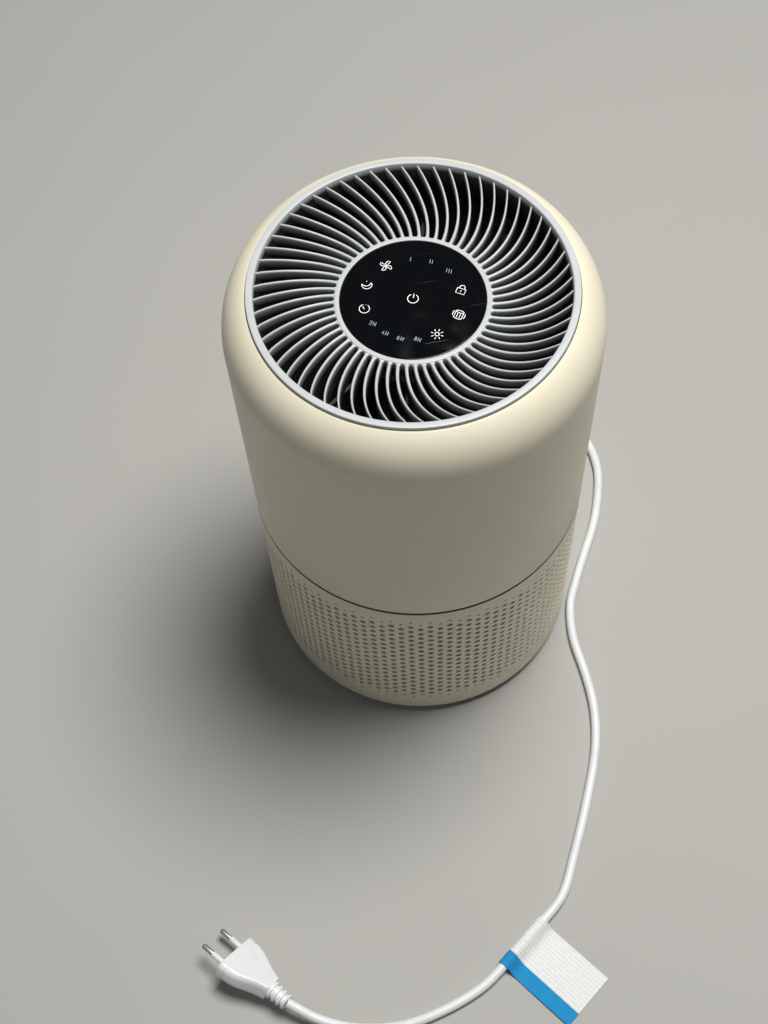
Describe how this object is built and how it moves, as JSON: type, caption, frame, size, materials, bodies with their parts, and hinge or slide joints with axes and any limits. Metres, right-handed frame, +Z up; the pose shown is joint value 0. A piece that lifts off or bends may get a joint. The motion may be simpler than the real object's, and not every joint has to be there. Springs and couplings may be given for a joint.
{
  "type": "air purifier",
  "caption": "Cylindrical tabletop air purifier with a perforated lower shell, dished spiral-vane outlet grille, touch panel, drum filter and corded plug.",
  "frame": {"origin": "centre of the body in the plane that the rubber feet stand on", "axes": "+Z up along the body, front of the body towards -Y, cord leaves at the back towards +Y"},
  "size_m": [0.3386, 0.5115, 0.36],
  "materials": {
    "ivory_shell": "ivory moulded ABS with a fine spark texture",
    "grille_plastic": "pale grey moulded ABS, satin",
    "panel_black": "black tinted acrylic, polished",
    "diffuser_milk": "milky polycarbonate",
    "circuit_board": "green solder mask",
    "duct_plastic": "grey moulded polypropylene",
    "impeller_plastic": "white moulded polypropylene",
    "motor_steel": "zinc plated steel",
    "motor_iron": "laminated iron",
    "copper_wire": "enamelled copper wire",
    "black_rubber": "moulded rubber",
    "foam_seal": "closed cell foam",
    "white_plastic": "white moulded plastic",
    "cord_white": "white PVC, satin",
    "pin_metal": "nickel plated brass",
    "paper": "coated paper, blue printed stripe",
    "filter_fleece": "pleated glass fibre paper",
    "filter_mesh": "woven nylon mesh",
    "carbon": "granulated carbon",
    "dark_plastic": "moulded plastic"
  },
  "bodies": {
    "housing": {"upper_housing": "ivory_shell", "lower_housing": "ivory_shell", "top_grille": "grille_plastic", "panel_lens": "panel_black", "light_diffuser": "diffuser_milk", "control_board": "circuit_board", "ribbon_cable": "dark_plastic", "air_duct": "duct_plastic", "motor_pod": "duct_plastic", "guide_vanes": "duct_plastic", "motor_case": "motor_steel", "motor_stator": "motor_iron", "motor_windings": "copper_wire", "motor_bearings": "motor_steel", "motor_bushes": "black_rubber", "motor_screws": "motor_steel", "inlet_plate": "duct_plastic", "inlet_guard": "duct_plastic", "plate_screws": "motor_steel", "shell_screws": "motor_steel", "power_board": "circuit_board", "board_components": "dark_plastic", "board_bracket": "duct_plastic", "board_screws": "motor_steel", "mains_lead": "cord_white", "motor_lead": "dark_plastic", "wire_cover": "white_plastic", "cord_clamp": "white_plastic", "strain_relief": "cord_white", "power_cord": "cord_white", "plug_body": "cord_white", "plug_relief": "cord_white", "plug_sleeves": "white_plastic", "plug_pins": "pin_metal", "cord_tag": "paper"},
    "fan": {"motor_shaft": "motor_steel", "motor_rotor": "motor_iron", "impeller": "impeller_plastic", "impeller_shroud": "impeller_plastic", "impeller_blades": "impeller_plastic", "impeller_washer": "motor_steel", "impeller_nut": "motor_steel"},
    "filter": {"filter_bottom_cap": "white_plastic", "filter_top_cap": "white_plastic", "hepa_pleats": "filter_fleece", "carbon_bed": "carbon", "pre_filter": "filter_mesh", "core_screen": "filter_mesh", "filter_seal": "foam_seal", "filter_pull_tab": "white_plastic"},
    "base": {"base_cover": "ivory_shell", "rubber_feet": "black_rubber", "rating_label": "paper"}
  },
  "joints": [
    {"name": "fan_spin", "type": "hinge", "parent": "housing", "child": "fan", "pos_m": [0, 0, 0.21], "axis": [0, 0, 1], "continuous": true},
    {"name": "filter_drop", "type": "slide", "parent": "housing", "child": "filter", "axis": [0, 0, -1], "range_m": [0, 0.17]},
    {"name": "cover_twist", "type": "hinge", "parent": "filter", "child": "base", "pos_m": [0, 0, 0.01], "axis": [0, 0, 1], "range_deg": [0, 18]}
  ]
}
